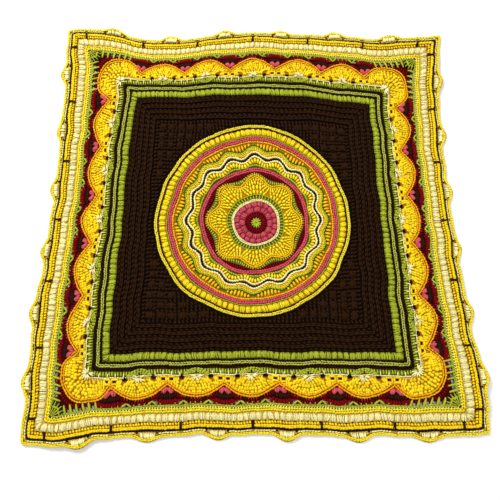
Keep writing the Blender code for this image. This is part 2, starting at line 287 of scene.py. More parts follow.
def ground_material(name, colour, shade_colour):
    """Rows of flat stitches in one colour, with painted shade between the rows and stitches."""
    material, shader, tree = new_material(name, 0.9, 0.0)
    course = tree.node("Attribute", {"attribute_name": "course"}, {}, ("Vector",))
    along, out, _ = tree.node("SeparateXYZ", {}, {"Vector": course}, ("X", "Y", "Z"))
    slant = (out * (1 / GROUND_ROW)).wave() * 0.18
    stitch = (along * (1 / GROUND_STITCH) + slant).wave() * 0.5 + 0.5
    row = (out * (1 / GROUND_ROW) + 0.25).wave() * 0.5 + 0.5
    place = tree.node("TexCoord", {}, {}, ("Object",))
    fuzz = tree.node("TexNoise", {}, {"Vector": place, "Scale": 700.0, "Detail": 3.0})
    # Painted shade: the colour falls from the yarn's colour on top of each stitch to its shade colour
    # between stitches and rows.
    raised = stitch * row
    feed(shader, "Base Color", (raised * 0.40 + fuzz * 0.30 - 0.16).between(shade_colour, colour))
    bump = tree.node("Bump", {}, {"Height": raised + fuzz * 0.3, "Distance": 0.0012, "Strength": 0.8})
    feed(shader, "Normal", bump)
    return material


def sheet_place(quarter, share, out):
    """A place of the sheet: on a round inside, on a row outside, and blended between them."""
    last, first = ROUNDS[-1].out, ROWS[0].out
    if out >= first:
        return square_place(quarter, share * out, out)
    inner = np.array(round_place(2 * quarter, -share * math.pi / 4, min(out, last)))
    outer = np.array(square_place(quarter, share * first, first))
    step = max(0, round((out - last) / (first - last) * PANEL_STEPS))
    return inner + (outer - inner) * (step / PANEL_STEPS)


def sheet_mesh():
    """The closed sheet: a grid whose rings follow the rows, over its plain underside."""
    last, reach = ROUNDS[-1], ROWS[0].out - ROUNDS[-1].out
    rings = ROUNDS + [last._replace(out=last.out + reach * (step / PANEL_STEPS))
                      for step in range(1, PANEL_STEPS)] + ROWS
    half = len(rings)
    bm = bmesh.new()
    bmesh.ops.create_grid(bm, x_segments=2 * half, y_segments=2 * half, size=half)
    raised = bmesh.ops.extrude_face_region(bm, geom=bm.faces[:], use_keep_orig=True)
    upper = [item for item in raised["geom"] if isinstance(item, bmesh.types.BMVert)]
    bmesh.ops.translate(bm, verts=upper, vec=(0, 0, 1))
    bmesh.ops.recalc_face_normals(bm, faces=bm.faces[:])
    mesh = bpy.data.meshes.new("ground_cloth")
    bm.to_mesh(mesh)
    bm.free()
    grid = np.empty(len(mesh.vertices) * 3, np.float32)
    mesh.vertices.foreach_get("co", grid)
    column, line, is_upper = np.round(grid.reshape(-1, 3)).astype(int).T
    number = np.maximum(np.abs(column), np.abs(line))
    sides = [line == number, column == -number, line == -number, column == number]
    quarter = np.select(sides, QUARTERS)
    share = np.select(sides, [column, line, -column, -line]) / np.maximum(number, 1)
    x, y, height, out = np.zeros((4, len(number)))
    height[number == 0] = ROUNDS[0].height - SHEET_SINK
    for index, ring in enumerate(rings, 1):
        for side in QUARTERS:
            here = (number == index) & (quarter == side)
            x[here], y[here] = sheet_place(side, share[here], ring.out)
        height[number == index] = ring.height - SHEET_SINK
        out[number == index] = ring.out
    mesh.vertices.foreach_set("co", set_down(x, y, height * is_upper).astype(np.float32).ravel())
    corners = np.empty(len(mesh.loops), int)
    mesh.loops.foreach_get("vertex_index", corners)
    course = mesh.attributes.new("course", "FLOAT_VECTOR", "CORNER")
    lengths = np.stack([np.abs(share) * out, out, 0 * out], axis=-1)
    course.data.foreach_set("vector", lengths[corners].ravel())
    names = list(YARNS)
    strips = np.array([names.index(ROUNDS[0].yarn)] + [names.index(ring.yarn) for ring in rings])
    mesh.polygons.foreach_set("material_index", strips[number[corners].reshape(-1, 4).min(axis=1)])
    for name, (colour, shade_colour) in YARNS.items():
        mesh.materials.append(ground_material(f"{name} ground stitches", colour, shade_colour))
    return mesh


Gap = namedtuple("Gap", "along out width height turn")
LADDER_STEPS = 6
LADDER_FIRST = 355.5
LADDER_PITCH = 14.2
LADDER_GAP = Gap(0.0, 444.6, 6.6, 6.5, 18.0)
FOOT_GAP = Gap(32.5, 385.5, 7.0, 4.4, 0.0)
MESH_GAP = Gap(9.0, 390.5, 7.4, 5.2, 0.0)
FAN_GAP = Gap(29.0, 442.5, 12.0, 6.5, 0.0)
GAP_CUT_HEIGHT = 120.0
SHELLS = np.arange(-2 * SHELL_PITCH, 2 * SHELL_PITCH + 1.0, SHELL_PITCH)
VALLEYS = np.arange(-LAST_VALLEY, LAST_VALLEY + 1.0, SHELL_PITCH)


def all_gaps():
    """Each open stitch: its place on the laid cloth, its half sizes in metres, its turn."""
    ladder = LADDER_FIRST + LADDER_PITCH * np.arange(LADDER_STEPS)
    for quarter in QUARTERS:
        for end in (-1, 1):
            found = [(LADDER_GAP, end * along) for along in ladder]
            found += [(FOOT_GAP, shell + end * FOOT_GAP.along) for shell in SHELLS]
            found += [(MESH_GAP, valley + end * MESH_GAP.along) for valley in VALLEYS]
            found += [(FAN_GAP, valley + end * FAN_GAP.along) for valley in VALLEYS
                      if abs(valley + end * FAN_GAP.along) < LAST_VALLEY]
            for gap, along in found:
                x, y, _ = set_down(*plain_place(quarter, along, gap.out), 0.0)
                turn = math.radians(90.0 * quarter + math.copysign(gap.turn, along))
                yield x, y, gap.width / 2 * MM, gap.height / 2 * MM, turn


def gap_blocks():
    """One block for each open stitch, tall enough to pass right through the cloth."""
    bm = bmesh.new()
    for x, y, half_width, half_height, turn in all_gaps():
        made = bmesh.ops.create_cube(bm, size=2.0)["verts"]
        bmesh.ops.scale(bm, verts=made, vec=(half_width, half_height, GAP_CUT_HEIGHT * MM / 2))
        bmesh.ops.rotate(bm, verts=made, matrix=Matrix.Rotation(turn, 3, "Z"))
        bmesh.ops.translate(bm, verts=made, vec=(x, y, 0.0))
    mesh = bpy.data.meshes.new("open stitches")
    bm.to_mesh(mesh)
    bm.free()
    return mesh


def add_object(name, mesh):
    """Puts a mesh in the scene."""
    made = bpy.data.objects.new(name, mesh)
    bpy.context.scene.collection.objects.link(made)
    return made


ground = add_object("ground_cloth", sheet_mesh())
blocks = add_object("open_stitches", gap_blocks())
cut = ground.modifiers.new("open stitches", "BOOLEAN")
cut.operation = "DIFFERENCE"
cut.solver = "EXACT"
cut.object = blocks
bpy.context.view_layer.update()
opened = bpy.data.meshes.new_from_object(ground.evaluated_get(bpy.context.evaluated_depsgraph_get()))
ground.modifiers.clear()
ground.data = opened
bpy.data.objects.remove(blocks)
ground.data.shade_smooth()
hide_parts("blanket")
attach(ground, "root")

# The heart of the rosette: a ring of long lime stitches, a crimson round of posts, two
# rounds of rose bobbles and a cream chain round, each worked into the one before it. The
# yarn is a soft twisted one, so each stitch is its own plump strand.

SHORT = np.array([0.0, 0.16, 0.5, 0.84, 1.0])
LONG = np.array([0.0, 0.12, 0.37, 0.63, 0.88, 1.0])
STRAND_SIDES = 5
END_FULLNESS = 0.74
GAP_MARGIN = 0.85
ROW_UNEVEN = 0.3
SIZE_UNEVEN = 0.07
LOWEST = 0.4
PLIES = 3
PLY_TURN = 7.0
rng = np.random.default_rng(11)
gap_x, gap_y, gap_width, gap_height, gap_turn = np.array(list(all_gaps())).T
gap_cos = np.cos(gap_turn)
gap_sin = np.sin(gap_turn)


def over_a_gap(paths):
    """Which strands would run over an open stitch."""
    east = paths[:, 1:-1, None, 0] - gap_x
    north = paths[:, 1:-1, None, 1] - gap_y
    beside = np.abs(east * gap_cos + north * gap_sin) < gap_width * GAP_MARGIN
    above = np.abs(north * gap_cos - east * gap_sin) < gap_height * GAP_MARGIN
    return (beside & above).any(axis=(1, 2))


def faces(*columns):
    """Faces as rows of numbers, from one column of numbers for each corner."""
    return np.stack(np.broadcast_arrays(*columns), axis=-1)


def strands(paths, wide, thick, crossing=False):
    """Lengths of yarn along their own paths, each closed and drawn to a point at its ends."""
    if not crossing:
        paths = paths[~over_a_gap(paths)]
    count, points = paths.shape[:2]
    rings = points - 2
    tangent = paths[:, 2:] - paths[:, :-2]
    tangent /= np.linalg.norm(tangent, axis=-1, keepdims=True)
    across = np.stack([-tangent[..., 1], tangent[..., 0], 0 * tangent[..., 0]], axis=-1)
    across /= np.linalg.norm(across, axis=-1, keepdims=True)
    upward = np.cross(tangent, across)
    full = np.ones(rings)
    full[[0, -1]] = END_FULLNESS
    turns = 0.25 + np.arange(STRAND_SIDES + 1) / STRAND_SIDES
    angle = turns[:-1] * 2 * math.pi
    size = 1 + rng.normal(0.0, SIZE_UNEVEN, (count, 1, 1, 1))
    reach = size * full[None, :, None, None] * MM
    ring = paths[:, 1:-1, None] + reach * (
        wide * np.cos(angle)[:, None] * across[:, :, None]
        + thick * np.sin(angle)[:, None] * upward[:, :, None])
    points_each = rings * STRAND_SIDES + 2
    points = np.concatenate([paths[:, :1], ring.reshape(count, -1, 3), paths[:, -1:]], axis=1)
    points[..., 2] = np.maximum(points[..., 2], LOWEST * MM)
    last = points_each - 1
    step = np.arange(STRAND_SIDES)
    after = (step + 1) % STRAND_SIDES
    end = last - STRAND_SIDES
    tips = np.concatenate([faces(0, 1 + after, 1 + step), faces(last, end + step, end + after)])
    tip_turns = turns[np.concatenate([faces(step, step + 1, step), faces(step, step, step + 1)])]
    tip_rings = np.repeat([[0, 1, 1], [rings + 1, rings, rings]], STRAND_SIDES, axis=0)
    row = np.arange(rings - 1)[:, None]
    first = 1 + row * STRAND_SIDES
    second = first + STRAND_SIDES
    walls = faces(first + step, first + after, second + after, second + step)
    wall_turns = turns[faces(step + 0 * row, step + 1, step + 1, step)]
    wall_rings = faces(row + 1 + 0 * step, row + 1, row + 2, row + 2)
    lengths = np.cumsum(np.linalg.norm(np.diff(paths, axis=1), axis=-1), axis=1) / MM
    lengths = np.concatenate([np.zeros((count, 1)), lengths], axis=1)
    strand_tone = rng.random(count)
    offset = np.arange(count)[:, None] * points_each

    def corner_values(turn, number):
        turn = np.broadcast_to(turn.ravel(), (count, turn.size))
        shades = np.broadcast_to(strand_tone[:, None], turn.shape)
        return np.stack([turn, lengths[:, number.ravel()], shades], axis=-1).reshape(-1, 3)

    return (points.reshape(-1, 3), (tips.ravel() + offset).reshape(-1, 3),
            (walls.ravel() + offset).reshape(-1, 4),
            corner_values(tip_turns, tip_rings), corner_values(wall_turns, wall_rings))


def piece(name, bundles, material):
    """Joins bundles of strands into one piece of the blanket."""
    points, tips, walls, tip_lays, wall_lays = zip(*bundles)
    sizes = np.cumsum([0] + [len(each) for each in points[:-1]])
    tips = np.concatenate([each + size for each, size in zip(tips, sizes)])
    walls = np.concatenate([each + size for each, size in zip(walls, sizes)])
    points = np.concatenate(points)
    lay = np.concatenate(tip_lays + wall_lays)
    mesh = bpy.data.meshes.new(name)
    mesh.vertices.add(len(points))
    mesh.vertices.foreach_set("co", points.astype(np.float32).ravel())
    mesh.loops.add(tips.size + walls.size)
    mesh.loops.foreach_set("vertex_index", np.concatenate([tips.ravel(), walls.ravel()]).astype(np.int32))
    starts = np.concatenate([np.arange(len(tips)) * 3, tips.size + np.arange(len(walls)) * 4])
    mesh.polygons.add(len(starts))
    mesh.polygons.foreach_set("loop_start", starts.astype(np.int32))
    mesh.update(calc_edges=True)
    mesh.shade_smooth()
    mesh.materials.append(material)
    mesh.attributes.new("yarn", "FLOAT_VECTOR", "CORNER").data.foreach_set("vector", lay.ravel())
    made = add_object(name, mesh)
    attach(made, "root")


class Course:
    """A closed row: its places by the length along it and the distance out of it."""

    def __init__(self, places, turned_over=0.0):
        x, y = places
        step = np.hypot(np.roll(x, -1) - x, np.roll(y, -1) - y)
        reach = max(1, round(turned_over / step.mean()))
        self.length = step.sum()
        self.run = np.concatenate([[0.0], np.cumsum(step)])
        go_x = np.roll(x, -reach) - np.roll(x, reach)
        go_y = np.roll(y, -reach) - np.roll(y, reach)
        size = np.hypot(go_x, go_y)
        self.columns = [np.append(column, column[0]) for column in (x, y, go_y / size, -go_x / size)]

    def set_down(self, run, out, height):
        run = run % self.length
        x, y, out_x, out_y = (np.interp(run, self.run, column) for column in self.columns)
        return set_down(x + out * out_x, y + out * out_y, height)

    def stitches(self, pitch, phase=0.0):
        """How many stitches go round, as the same number for each quarter, and their middles."""
        count = 4 * max(1, round(self.length / pitch / 4))
        return self.length / count, (np.arange(count) + phase) * self.length / count


def round_at(radius):
    """A round of the rosette, with its waves."""
    return Course(round_place(0, np.linspace(0, 2 * math.pi, 1440, endpoint=False), radius))


def row_at(out, turned_over=0.0):
    """A row around the square, counted from a corner, whose stitches turn over this length."""
    shares = np.linspace(1, -1, 400, endpoint=False)
    places = np.hstack([square_place(side, shares * out, out) for side in QUARTERS])
    return Course(places, turned_over)


def uneven(count, size=ROW_UNEVEN):
    """Small differences from stitch to stitch, as a hand makes them."""
    return rng.normal(0.0, size, (count, 1))


def lobes(course, pitch, crest, wide, thick, start, end, steps=SHORT, phase=0.0, dip=0.8):
    """A row of strands on a course: each runs from start to end, as pitches along and mm out."""
    pitch, middles = course.stitches(pitch, phase)
    count = len(middles)
    run = middles[:, None] + uneven(count) + (start[0] + (end[0] - start[0]) * steps) * pitch
    out = start[1] + (end[1] - start[1]) * steps + uneven(count)
    height = crest - thick - dip * thick * (2 * steps - 1) ** 2 + uneven(count)
    return strands(course.set_down(run, out, height), wide, thick)


def braid(course, pitch, crest, half, wide, thick):
    """The top of a crochet row: two lines of strands that meet in a V at each stitch."""
    return [lobes(course, pitch, crest, wide, thick, (-0.62, side * half), (0.62, side * 0.3 * half))
            for side in (-1, 1)]


PUFF_TILT = 0.05
PUFF_TILT_UNEVEN = 0.14
PUFF_SIZE_UNEVEN = 0.08
PUFF_ARCH = 2.4
PUFF_WRAP = 1.15
PUFF_DROP = 0.26


def puffs(course, pitch, crest, inner, outer, width, plies=5, phase=0.0, wide=1.55):
    """A row of puff stitches: each is a bundle of long loops drawn together at both ends."""
    pitch, middles = course.stitches(pitch, phase)
    count = len(middles)
    tilt = rng.normal(PUFF_TILT, PUFF_TILT_UNEVEN, (count, 1))
    size = 1 + rng.normal(0.0, PUFF_SIZE_UNEVEN, (count, 1))
    bulge = np.sin(math.pi * (0.09 + 0.82 * LONG)) ** 0.65
    made = []
    for side in np.linspace(-1, 1, plies):
        run = middles[:, None] + size * side * (width / 2 - wide) * bulge + uneven(count, 0.45)
        run = run + tilt * (LONG - 0.5) * (outer - inner)
        out = inner + (outer - inner) * LONG + uneven(count)
        drop = (1 - math.cos(side * PUFF_WRAP)) * width * PUFF_DROP
        height = crest - wide - drop - PUFF_ARCH * (2 * LONG - 1) ** 2 + uneven(count, 0.55)
        made.append(strands(course.set_down(run, out, height), wide, wide))
    return made


def spread(starts, ends, crest, wide, thick, steps=SHORT, bow=0.0, dip=0.8, loose=0.3,
           crossing=False, place=square_place, repeats=QUARTERS):
    """The same strands on each side or eighth, from one place of the pattern to another."""
    starts = np.asarray(starts, float)[:, :, None]
    ends = np.asarray(ends, float)[:, :, None]
    along, out = np.moveaxis(starts + (ends - starts) * steps, 1, 0)
    along = along + bow * (1 - (2 * steps - 1) ** 2)
    made = []
    for repeat in repeats:
        height = crest - thick - dip * thick * (2 * steps - 1) ** 2 + uneven(len(along))
        x, y = place(repeat, along, out)
        path = set_down(x + uneven(len(along), loose), y + uneven(len(along), loose), height)
        made.append(strands(path, wide, thick, crossing))
    return made


# How much each term lightens the yarn: the crest and ply terms are painted highlight and shade on each
# strand, the fibre and dye terms and each strand's random tone are the yarn's own colour.
CREST_TONE = 0.68
PLY_SHADE = 0.13
FIBRE_TONE = 0.36
DYE_TONE = 0.3


def yarn(name, colour, shade_colour, sheen=0.02, shade_contrast=1.4, mottle=0.3):
    """Soft twisted yarn, with painted light: lighter on the crest of each strand and painted shade on its
    sides and where strands meet.
    """
    material, shader, tree = new_material(name, 0.8, sheen)
    lay = tree.node("Attribute", {"attribute_name": "yarn"}, {}, ("Vector",))
    around, along, strand_tone = tree.node("SeparateXYZ", {}, {"Vector": lay}, ("X", "Y", "Z"))
    # Painted light: each strand is coloured lighter on its crest and darker on its sides and underside,
    # as light falls on a round strand.
    crest = around.wave() * 0.5 + 0.5
    # The twist of the plies is painted too: darker grooves of painted shade along it. The same waves also
    # drive the bump.
    ply = (around * PLIES + along * (1 / PLY_TURN)).wave()
    place = tree.node("TexCoord", {}, {}, ("Object",))
    fibre = tree.node("TexNoise", {}, {"Vector": place, "Scale": 1400.0, "Detail": 3.0, "Roughness": 0.7})
    dye = tree.node("TexNoise", {}, {"Vector": place, "Scale": 55.0, "Detail": 2.0})
    lightness = crest * shade_contrast + ply * PLY_SHADE + (strand_tone - 0.5) * mottle
    lightness = lightness + fibre * FIBRE_TONE + dye * DYE_TONE
    feed(shader, "Base Color", (lightness + (CREST_TONE - shade_contrast)).between(shade_colour, colour))
    bump = tree.node("Bump", {}, {"Height": ply * 0.5 + fibre, "Distance": 0.0006, "Strength": 0.75})
    feed(shader, "Normal", bump)
    return material


lime_yarn = yarn("lime yarn", *YARNS["lime"])
crimson_yarn = yarn("crimson yarn", *YARNS["crimson"], sheen=0.0)
rose_yarn = yarn("rose yarn", *YARNS["rose"])
cream_yarn = yarn("cream yarn", *YARNS["cream"])
yellow_yarn = yarn("yellow yarn", *YARNS["yellow"])
piece("heart_lime", [lobes(round_at(8.0), 5.0, 7.2, 2.0, 1.9, (0, -7.0), (0, 6.0), LONG)], lime_yarn)
piece("heart_crimson", [lobes(round_at(20.0), 5.6, 6.6, 2.4, 2.0, (0, -7.5), (0.1, 8.0))], crimson_yarn)
heart_bobbles = puffs(round_at(35.0), 17.5, 8.4, -7.0, 7.0, 16.0)
heart_bobbles += puffs(round_at(48.0), 15.0, 8.4, -6.6, 6.8, 13.4, phase=0.5)
piece("heart_rose_bobbles", heart_bobbles, rose_yarn)
piece("heart_cream_round", braid(round_at(58.0), 5.6, 6.4, 2.4, 1.7, 1.6), cream_yarn)
piece("heart_mesh", [lobes(round_at(66.5), 7.4, 5.4, 1.6, 1.6, (0, -6.5), (0.0, 6.5)),
                     lobes(round_at(72.0), 5.6, 6.0, 1.6, 1.6, (-0.62, 0), (0.62, 0))], lime_yarn)

# Eight fans around the heart: four rows of yellow posts spread into each fan, an orange
# double rim over them, lime scallops behind it, and a crimson fill that makes it round
# again, closed by a thick rose ridge.

EIGHTHS = range(8)
golden_yarn = yarn("orange yellow yarn", *YARNS["golden"])
Tier = namedtuple("Tier", "posts inner outer spread_in spread_out crest wide thick")
FAN_TIERS = [
    Tier(6, 73, 82.5, 0.25, 0.30, 7.4, 3.2, 2.7),
    Tier(8, 82, 91.5, 0.31, 0.335, 7.8, 3.1, 2.6),
    Tier(11, 91, 98.5, 0.34, 0.355, 8.4, 2.8, 2.5),
    Tier(14, 98, 104.5, 0.36, 0.37, 8, 2.4, 2.2),
]


def fanned(middles, shares, reach, out, dip=0):
    """Places to both sides of each middle, which fall back by the dip at their far ends."""
    return [(middle + share * reach, out - dip * share * share)
            for middle in middles for share in shares]


def tier_posts(tiers, middles, **more):
    """Rows of posts that spread from each middle, each row worked into the one before."""
    made = []
    for tier in tiers:
        shares = np.linspace(-1, 1, tier.posts)
        made += spread(fanned(middles, shares, tier.spread_in, tier.inner),
                       fanned(middles, shares, tier.spread_out, tier.outer),
                       tier.crest, tier.wide, tier.thick, **more)
    return made


fan_posts = tier_posts(FAN_TIERS, (0,), steps=LONG, place=round_place, repeats=EIGHTHS)
piece("fan_posts", fan_posts, yellow_yarn)
fan_rim = round_at(107.5)
piece("fan_rim", [lobes(fan_rim, 5.4, 9, 2.2, 2.1, (-0.6, -3.2), (0.6, -1.4)),
                  lobes(fan_rim, 5.4, 9, 2.2, 2.1, (-0.6, 1.4), (0.6, 3.2))], golden_yarn)
piece("lime_scallops", [lobes(round_at(115.5), 5.8, 7, 2.2, 1.9, (-0.1, -4.2), (0.2, 4.4))], lime_yarn)
piece("crimson_fill", [lobes(round_at(124), 5.6, 6, 2.3, 1.8, (-0.1, -5), (0.1, 5))], crimson_yarn)
piece("inner_rose_ridge", braid(round_at(133), 6.2, 7.6, 3.6, 2.5, 2.3), rose_yarn)

# The rippled band: rounds of single stitches that rise and fall in sixteen waves, in
# lime, yellow, cream, brown and orange, with a straight rose ridge worked round them.

# The dark brown yarn gets a stronger painted shade between its crests and sides.
brown_yarn = yarn("dark brown yarn", *YARNS["brown"], sheen=0, shade_contrast=2.4)
Line = namedtuple("Line", "radius crest half")
RIPPLE_LINES = {
    "ripple_lime": (lime_yarn, [Line(142.5, 6.6, 2.4), Line(183, 7, 2.5)]),
    "ripple_cream": (cream_yarn, [Line(159, 7.8, 2.6), Line(170, 8.4, 2.7)]),
    "ripple_brown": (brown_yarn, [Line(164.5, 6.6, 2.7)]),
    "ripple_orange": (golden_yarn, [Line(175.5, 7.6, 2.2), Line(201.8, 7.2, 2.3)]),
}
for name, (material, lines) in RIPPLE_LINES.items():
    piece(name, [lobes(round_at(line.radius), 6, line.crest, line.half, 2,
                       (-0.55, -1.6), (0.6, 1.6)) for line in lines], material)
piece("ripple_yellow", [lobes(round_at(150.5), 7.4, 8, 3.2, 2.6, (-0.1, -6.4), (0.1, 6.4)),
                        lobes(round_at(179.3), 5.6, 7.2, 1.9, 1.8, (-0.6, -0.6), (0.6, 0.6))],
      yellow_yarn)
RIPPLE_SPREAD = 0.34
ripple_feet = []
ripple_heads = []
for turn in range(RIPPLES_ROUND):
    for post in np.linspace(-1, 1, 7):
        angle = (turn + 0.5 + RIPPLE_SPREAD * post) * 2 * math.pi / RIPPLES_ROUND
        ripple_feet.append((angle, 186.5 + 1.5 * post * post))
        ripple_heads.append((angle, 199 - 3 * post * post))
ripple_puffs = spread(ripple_feet, ripple_heads, 8.6, 3, 2.7, LONG, place=round_place, repeats=(0,))
piece("ripple_puffs", ripple_puffs, golden_yarn)
piece("outer_rose_ridge", braid(round_at(209.5), 6.4, 8.4, 3.8, 2.7, 2.5), rose_yarn)
piece("thin_lime_round", [lobes(round_at(217), 5.6, 6.4, 1.7, 1.7, (-0.6, -0.5), (0.6, 0.5))], lime_yarn)

# The rosette's rim: a round of plump yellow puffs, a dark line of brown chain, and a pale
# yellow ridge that stands against the brown field.

# Its second colour is the painted shade between strands.
pale_yarn = yarn("pale yellow yarn", (0.97, 0.84, 0.055), (0.40, 0.20, 0.005))
piece("rim_puffs", puffs(round_at(228), 13.8, 8.9, -9, 8.6, 13, wide=1.6), yellow_yarn)
piece("rim_dark_line", [lobes(round_at(238.5), 5.2, 5.8, 1.7, 1.7, (-0.6, -0.4), (0.6, 0.4))], brown_yarn)
piece("rim_ridge", braid(round_at(243.5), 5.8, 7.6, 2.8, 1.9, 1.9), pale_yarn)

# The brown field: close rows of stitches with popcorns in its four corners, and four raised
# ribs that run parallel to the sides, each a cable of two lines of front posts.

RIBS = (269, 285, 301, 317)
GROOVES = (277, 293, 309, 325)
RIB_STITCH = 12.5
POPCORN_PITCH = 25
POPCORNS_DEEP = 6
POPCORN_CORNER = 243
POPCORN_HALF = 9
POPCORN_CLEAR_RADIUS = 262
CORNER_ROW = 8.6
CORNER_STITCH = 9.8
CORNER_FROM = 253
field_ribs = []
for rib in RIBS:
    field_ribs += braid(row_at(rib), RIB_STITCH, 8.4, 3, 2.8, 2.7)
piece("field_ribs", field_ribs, brown_yarn)
piece("field_grooves", [lobes(row_at(groove), 13.4, 4.6, 3.8, 1.7, (-0.42, -2.2), (0.42, 2.2))
                        for groove in GROOVES], brown_yarn)
corner_places = [(along, out) for out in np.arange(120, 262, CORNER_ROW)
                 for along in np.arange(-256, 258, CORNER_STITCH)
                 if math.hypot(along, out) > CORNER_FROM and abs(along) <= out + 2]
starts = [(along + 3, out - 4.8) for along, out in corner_places]
ends = [(along - 2, out + 5.2) for along, out in corner_places]
corner_rows = spread(starts, ends, 5.8, 3.5, 2.1, place=plain_place)
piece("field_corner_rows", corner_rows, brown_yarn)
popcorns = []
popcorn_lines = POPCORN_CORNER - POPCORN_PITCH * np.arange(POPCORNS_DEEP)
popcorn_places = [(along, out) for along in popcorn_lines for out in popcorn_lines
                  if math.hypot(along, out) > POPCORN_CLEAR_RADIUS]
for ply in np.linspace(-1, 1, 6):
    starts, ends = [[(along + ply * 3, out + end * POPCORN_HALF) for along, out in popcorn_places]
                    for end in (-1, 1)]
    popcorns += spread(starts, ends, 9.4 - 3.4 * ply * ply, 2.3, 2.2, LONG, ply * 5.2, 1.6,
                       place=plain_place)
piece("field_popcorns", popcorns, brown_yarn)

# The lime frame of the field: a row of puffs, a thin dark line, a pale lime chain ridge of
# two lines, and a brown double row outside it.

CORNER_TURN = 14
# It takes the lime's painted shade colour between strands.
pale_lime_yarn = yarn("pale lime yarn", (0.56, 0.58, 0.09), YARNS["lime"][1])
piece("frame_puffs", puffs(row_at(338.5, CORNER_TURN), 13.6, 8.9, -8.8, 8.8, 13.6), lime_yarn)
dark_line = [lobes(row_at(349.6), 8, 5.8, 1.5, 1.6, (-0.6, -0.5), (0.6, 0.5)),
             lobes(row_at(346.6), 13.6, 7, 2, 2, (-0.14, -1.5), (0.14, 1.5), phase=0.5)]
piece("frame_dark_line", dark_line, brown_yarn)
piece("frame_chain_ridge", braid(row_at(355.4), 6.2, 7.4, 3.1, 1.8, 1.8), pale_lime_yarn)
piece("brown_double_row", [lobes(row_at(out), 7.2, 5.8, 2.5, 1.9, (-0.5, -0.9), (0.6, 0.9))
                           for out in (361.4, 365.8)], brown_yarn)

# The lime leaves at the feet of the shells: a low row of lime stitches with a crescent of
# three curved lines at each shell, and a cream base line with spikes, a star tuft at the
# foot of each shell and a round one at each corner.

LEAF_OUT = 380
LEAF_LAP = 0.6
Arc = namedtuple("Arc", "rise crest half")
LEAF_ARCS = [Arc(12, 9, 29), Arc(7.8, 8.8, 26), Arc(3.6, 8.6, 22)]
SPIKES = (-27.75, -9.25, 9.25, 27.75)
LAST_SPIKE = 352
STAR_REACH = 15
STAR_FROM = 1.5
STAR_FEET = [(shell, 383) for shell in SHELLS]
STAR_ANGLES = math.pi * (np.arange(9) / 8 * 1.3 - 0.15)
CORNER_STAR = [(373, 373)]
CORNER_STAR_ANGLES = math.pi * (np.arange(11) / 10 * 1.5 - 0.5)


def on_sides(alongs, start, end, *size, **more):
    """The same strand at each of these lengths along all four sides."""
    starts, ends = [[(along + beside, out) for along in alongs] for beside, out in (start, end)]
    return spread(starts, ends, *size, **more)


def over_gaps(alongs, start, end, *size):
    """The same, measured straight along and laid across the open stitches too."""
    return on_sides(alongs, start, end, *size, place=plain_place, crossing=True)


def rayed(feet, angles, beside, outward):
    """The places that the rays from each foot reach, this far along and out."""
    return [(along + beside * math.cos(angle), out + outward * math.sin(angle))
            for along, out in feet for angle in angles]


leaf_row = [lobes(row_at(373.8), 6.6, 6.2, 2.3, 1.8, (-0.15, -5.8), (0.15, 6))]
for arc in LEAF_ARCS:
    bends = [(share * arc.half, LEAF_OUT - arc.rise * (1 - share * share))
             for share in np.linspace(-1, 1, 9)]
    for first, second in zip(bends[:-1], bends[1:]):
        leaf_row += on_sides(SHELLS, (first[0], first[1] - LEAF_LAP),
                             (second[0], second[1] + LEAF_LAP), arc.crest, 2.4, 2.2)
piece("lime_leaves", leaf_row, lime_yarn)
# Dark brown dots in the middle of each leaf paint the shade of the small hole there.
piece("leaf_hole_shade", on_sides(SHELLS, (-2.4, 376.6), (2.4, 376.6), 9.6, 2.2, 1.6), brown_yarn)
base_line = [lobes(row_at(381.6), 5.8, 6.8, 1.8, 1.7, (-0.6, -0.6), (0.6, 0.6))]
spike_places = [valley + spike for valley in VALLEYS for spike in SPIKES
                if abs(valley + spike) < LAST_SPIKE]
base_line += on_sides(spike_places, (0, 383), (0, 371.4), 7.8, 1.5, 1.5)
base_line += spread(rayed(STAR_FEET, STAR_ANGLES, STAR_FROM, 0.3),
                    rayed(STAR_FEET, STAR_ANGLES, STAR_REACH, 0.34 * STAR_REACH), 9.8, 1.7, 1.7,
                    loose=1.1)
base_line += spread(rayed(CORNER_STAR, CORNER_STAR_ANGLES, STAR_FROM, STAR_FROM),
                    rayed(CORNER_STAR, CORNER_STAR_ANGLES, STAR_REACH, STAR_REACH), 10.2, 2, 1.9,
                    loose=0.8, place=plain_place)
piece("cream_base_line", base_line, cream_yarn)

# The shells: five rows of fat yellow posts spread from each foot, with a chain mesh in the
# valleys between them, dark brown yarn around and behind the open stitches that also paints
# the shade in them, and an orange double rim that runs along the whole scalloped edge.

TIERS = [
    Tier(7, 384.4, 387.4, 15, 25, 8.6, 3.6, 3),
    Tier(10, 387, 389.6, 26, 35, 9.2, 3.8, 3.2),
    Tier(13, 389.2, 391.8, 36, 43.5, 8.8, 3.9, 3),
    Tier(16, 391.4, 394.2, 44.5, 51, 8.8, 3.8, 3),
    Tier(20, 393.8, 397, 52, 57.5, 8.4, 3.7, 2.8),
]
BESIDE_FEET = (23, 38.5, 43)
shell_posts = tier_posts(TIERS, SHELLS, loose=0.8)
beside_feet = [(shell + end * along, end) for shell in SHELLS for end in (-1, 1)
               for along in BESIDE_FEET]
shell_posts += spread([(along, 383.6) for along, end in beside_feet],
                      [(along + end * 6, 390.6) for along, end in beside_feet], 7.8, 3, 2.6)
CornerTier = namedtuple("CornerTier", "posts inner outer from_in from_out crest wide thick")
CORNER_TIERS = [
    CornerTier(4, 384, 387.4, 357, 351, 8.6, 4.1, 3),
    CornerTier(6, 387, 389.6, 350, 345.5, 9.2, 4.4, 3.2),
    CornerTier(8, 389.2, 391.8, 344.5, 339.5, 8.8, 4.6, 3),
    CornerTier(10, 391.4, 394.2, 339, 334, 8.8, 4.5, 3),
    CornerTier(13, 393.8, 397, 333, 327.5, 8.4, 4.1, 2.8),
]
